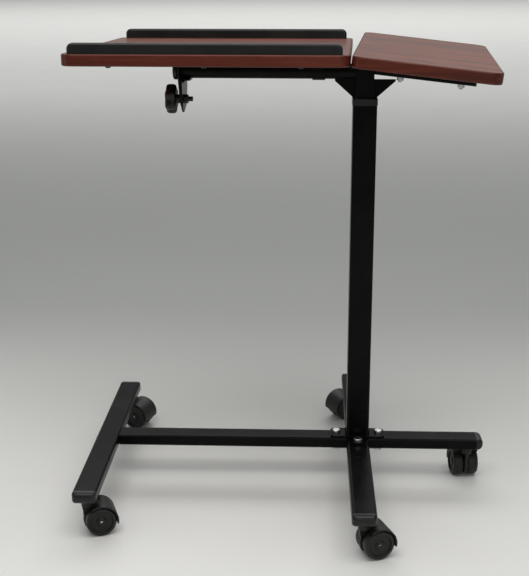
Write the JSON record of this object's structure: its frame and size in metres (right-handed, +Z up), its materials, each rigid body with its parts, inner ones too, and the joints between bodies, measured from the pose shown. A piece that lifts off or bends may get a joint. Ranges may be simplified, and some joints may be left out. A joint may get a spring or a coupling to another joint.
{
  "type": "overbed table",
  "caption": "Rolling overbed table: H-shaped caster base, telescopic post, tilting main top with ledges and a narrow fixed side top.",
  "frame": {"origin": "on the floor, under the middle of the table's outline at rest", "axes": "+Z up; +X from the left cross bar towards the free right end of the long bar; +Y towards the rear leg"},
  "size_m": [0.7002, 0.62, 0.7926],
  "materials": {
    "powder_coated_steel": "satin black powder coat",
    "zinc_plated_steel": "bright zinc plate",
    "blackened_steel": "black oxide",
    "black_plastic": "black moulded plastic, fine texture",
    "caster_plastic": "dark charcoal nylon",
    "cherry_laminate": "semi-gloss cherry woodgrain laminate",
    "cherry_edge": "cherry coloured rounded edge moulding"
  },
  "bodies": {
    "base": {"left_cross_bar": "powder_coated_steel", "long_bar": "powder_coated_steel", "front_leg": "powder_coated_steel", "rear_leg": "powder_coated_steel", "bar_end_caps": "black_plastic", "cross_bar_insert": "powder_coated_steel", "cross_bar_bolts": "zinc_plated_steel", "foot_plate": "powder_coated_steel", "clamp_plate": "powder_coated_steel", "base_bolts": "zinc_plated_steel", "base_nuts": "zinc_plated_steel", "caster_sockets": "zinc_plated_steel", "caster_stems": "zinc_plated_steel", "lower_post": "powder_coated_steel", "post_collar": "black_plastic"},
    "height_clamp": {"height_knob": "black_plastic", "height_screw": "zinc_plated_steel"},
    "head": {"upper_post": "powder_coated_steel", "lower_glide": "black_plastic", "main_beam": "powder_coated_steel", "beam_end_cap": "black_plastic", "head_gussets": "powder_coated_steel", "lock_ear": "powder_coated_steel", "tilt_nut": "blackened_steel", "side_beam": "powder_coated_steel", "side_beam_cap": "black_plastic", "side_straps": "powder_coated_steel", "side_bolts": "zinc_plated_steel", "side_top_screws": "blackened_steel", "side_top_board": "cherry_laminate", "side_top_edge": "cherry_edge"},
    "main_top": {"main_top_board": "cherry_laminate", "main_top_edge": "cherry_edge", "near_ledge": "black_plastic", "far_ledge": "black_plastic", "hinge_saddle": "powder_coated_steel", "tilt_sector": "powder_coated_steel", "main_top_screws": "blackened_steel"},
    "tilt_clamp": {"tilt_knob": "black_plastic", "tilt_screw": "blackened_steel"},
    "near_left_caster": {"near_left_hood": "caster_plastic", "near_left_axle": "zinc_plated_steel"},
    "near_left_wheel_a": {"near_left_wheel_a": "caster_plastic"},
    "near_left_wheel_b": {"near_left_wheel_b": "caster_plastic"},
    "near_middle_caster": {"near_middle_hood": "caster_plastic", "near_middle_axle": "zinc_plated_steel"},
    "near_middle_wheel_a": {"near_middle_wheel_a": "caster_plastic"},
    "near_middle_wheel_b": {"near_middle_wheel_b": "caster_plastic"},
    "right_caster": {"right_hood": "caster_plastic", "right_axle": "zinc_plated_steel"},
    "right_wheel_a": {"right_wheel_a": "caster_plastic"},
    "right_wheel_b": {"right_wheel_b": "caster_plastic"},
    "far_left_caster": {"far_left_hood": "caster_plastic", "far_left_axle": "zinc_plated_steel"},
    "far_left_wheel_a": {"far_left_wheel_a": "caster_plastic"},
    "far_left_wheel_b": {"far_left_wheel_b": "caster_plastic"},
    "far_middle_caster": {"far_middle_hood": "caster_plastic", "far_middle_axle": "zinc_plated_steel"},
    "far_middle_wheel_a": {"far_middle_wheel_a": "caster_plastic"},
    "far_middle_wheel_b": {"far_middle_wheel_b": "caster_plastic"}
  },
  "joints": [
    {"name": "height_slide", "type": "slide", "parent": "base", "child": "head", "axis": [0, 0, 1], "range_m": [0, 0.28]},
    {"name": "height_knob_turn", "type": "hinge", "parent": "base", "child": "height_clamp", "pos_m": [0.1246, 0.029, 0.637], "axis": [0, 1, 0], "range_deg": [0, 720]},
    {"name": "main_top_tilt", "type": "hinge", "parent": "head", "child": "main_top", "pos_m": [-0.18131, 0.01336, 0.732], "axis": [0.999, -0.0436, 0], "range_deg": [-35, 0]},
    {"name": "tilt_knob_turn", "type": "hinge", "parent": "head", "child": "tilt_clamp", "pos_m": [-0.18301, 0.01343, 0.685], "axis": [-0.999, 0.0436, 0], "range_deg": [0, 720]},
    {"name": "near_left_swivel", "type": "hinge", "parent": "base", "child": "near_left_caster", "pos_m": [-0.3271, -0.223, 0.063], "axis": [0, 0, 1], "continuous": true},
    {"name": "near_left_wheel_a_spin", "type": "hinge", "parent": "near_left_caster", "child": "near_left_wheel_a", "pos_m": [-0.30831, -0.21616, 0.025], "axis": [-0.342, 0.9397, 0], "continuous": true},
    {"name": "near_left_wheel_b_spin", "type": "hinge", "parent": "near_left_caster", "child": "near_left_wheel_b", "pos_m": [-0.30831, -0.21616, 0.025], "axis": [-0.342, 0.9397, 0], "continuous": true},
    {"name": "near_middle_swivel", "type": "hinge", "parent": "base", "child": "near_middle_caster", "pos_m": [0.1246, -0.283, 0.063], "axis": [0, 0, 1], "continuous": true},
    {"name": "near_middle_wheel_a_spin", "type": "hinge", "parent": "near_middle_caster", "child": "near_middle_wheel_a", "pos_m": [0.14314, -0.27551, 0.025], "axis": [-0.3746, 0.9272, 0], "continuous": true},
    {"name": "near_middle_wheel_b_spin", "type": "hinge", "parent": "near_middle_caster", "child": "near_middle_wheel_b", "pos_m": [0.14314, -0.27551, 0.025], "axis": [-0.3746, 0.9272, 0], "continuous": true},
    {"name": "right_swivel", "type": "hinge", "parent": "base", "child": "right_caster", "pos_m": [0.3231, 0, 0.063], "axis": [0, 0, 1], "continuous": true},
    {"name": "right_wheel_a_spin", "type": "hinge", "parent": "right_caster", "child": "right_wheel_a", "pos_m": [0.32032, 0.0198, 0.025], "axis": [-0.9903, -0.1392, 0], "continuous": true},
    {"name": "right_wheel_b_spin", "type": "hinge", "parent": "right_caster", "child": "right_wheel_b", "pos_m": [0.32032, 0.0198, 0.025], "axis": [-0.9903, -0.1392, 0], "continuous": true},
    {"name": "far_left_swivel", "type": "hinge", "parent": "base", "child": "far_left_caster", "pos_m": [-0.3271, 0.223, 0.063], "axis": [0, 0, 1], "continuous": true},
    {"name": "far_left_wheel_a_spin", "type": "hinge", "parent": "far_left_caster", "child": "far_left_wheel_a", "pos_m": [-0.30831, 0.21616, 0.025], "axis": [0.342, 0.9397, 0], "continuous": true},
    {"name": "far_left_wheel_b_spin", "type": "hinge", "parent": "far_left_caster", "child": "far_left_wheel_b", "pos_m": [-0.30831, 0.21616, 0.025], "axis": [0.342, 0.9397, 0], "continuous": true},
    {"name": "far_middle_swivel", "type": "hinge", "parent": "base", "child": "far_middle_caster", "pos_m": [0.1246, 0.283, 0.063], "axis": [0, 0, 1], "continuous": true},
    {"name": "far_middle_wheel_a_spin", "type": "hinge", "parent": "far_middle_caster", "child": "far_middle_wheel_a", "pos_m": [0.10728, 0.273, 0.025], "axis": [0.5, -0.866, 0], "continuous": true},
    {"name": "far_middle_wheel_b_spin", "type": "hinge", "parent": "far_middle_caster", "child": "far_middle_wheel_b", "pos_m": [0.10728, 0.273, 0.025], "axis": [0.5, -0.866, 0], "continuous": true}
  ]
}
